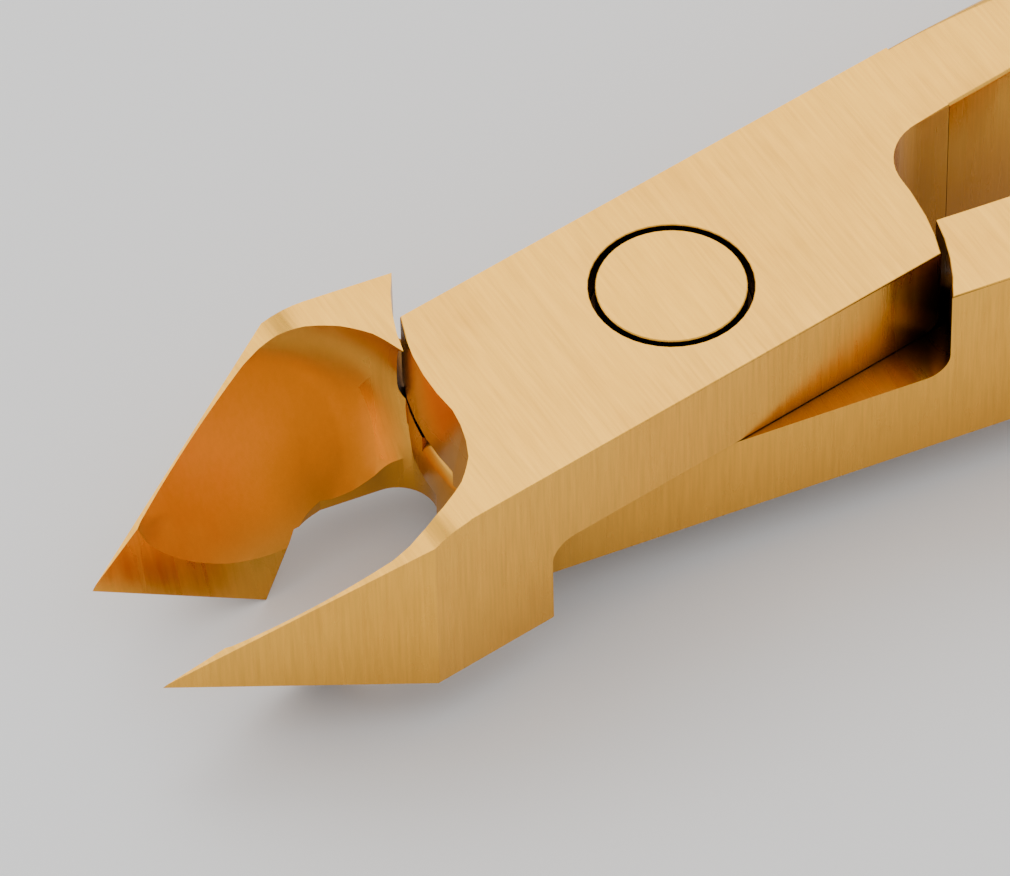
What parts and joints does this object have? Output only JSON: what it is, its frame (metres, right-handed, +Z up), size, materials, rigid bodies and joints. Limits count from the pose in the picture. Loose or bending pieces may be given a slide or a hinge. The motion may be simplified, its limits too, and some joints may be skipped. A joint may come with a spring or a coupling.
{
  "type": "cuticle nipper",
  "caption": "Gold-coloured cuticle nipper with hollow-ground pointed jaws, a lap joint on a flush pivot, bowed handles and interlocking leaf springs",
  "frame": {"origin": "on the pivot axis, in the plane of the joint's flat underside", "axes": "+X points to the tips along the line midway between the handles, +Y to the side of the front half's jaw, +Z up along the pivot axis to the blank pivot head"},
  "size_m": [0.114, 0.0426, 0.0085],
  "materials": {
    "gold_steel": "brushed, with a thin gold-coloured coating",
    "pivot_gold": "brushed, with a thin gold-coloured coating",
    "spring_gold": "satin, with a thin gold-coloured coating",
    "screw_gold": "turned, with a thin gold-coloured coating"
  },
  "bodies": {
    "back_side": {"back_half": "gold_steel", "pivot_post": "pivot_gold", "pivot_screw": "pivot_gold", "back_spring_screw": "screw_gold"},
    "front_side": {"front_half": "gold_steel", "front_spring_screw": "screw_gold"},
    "front_leaf": {"front_leaf_spring": "spring_gold"},
    "back_leaf": {"back_leaf_spring": "spring_gold"}
  },
  "joints": [
    {"name": "pivot", "type": "hinge", "parent": "back_side", "child": "front_side", "pos_m": [0, 0, 0.0033], "axis": [0, 0, -1], "range_deg": [0, 13], "stiffness_Nm_per_rad": 0.25, "springref_deg": -20.05},
    {"name": "front_leaf_bend", "type": "hinge", "parent": "front_side", "child": "front_leaf", "pos_m": [-0.0274, -0.0065, 0.0031], "axis": [0, 0, 1], "range_deg": [0, 15], "deforming": ["front_leaf_spring"]},
    {"name": "back_leaf_bend", "type": "hinge", "parent": "back_side", "child": "back_leaf", "pos_m": [-0.0274, 0.0065, 0.0031], "axis": [0, 0, -1], "range_deg": [0, 15], "deforming": ["back_leaf_spring"]}
  ],
  "couplings": [
    {"joint": "front_leaf_bend", "follows": "pivot", "ratio": 1.07},
    {"joint": "back_leaf_bend", "follows": "pivot", "ratio": 1.07}
  ]
}
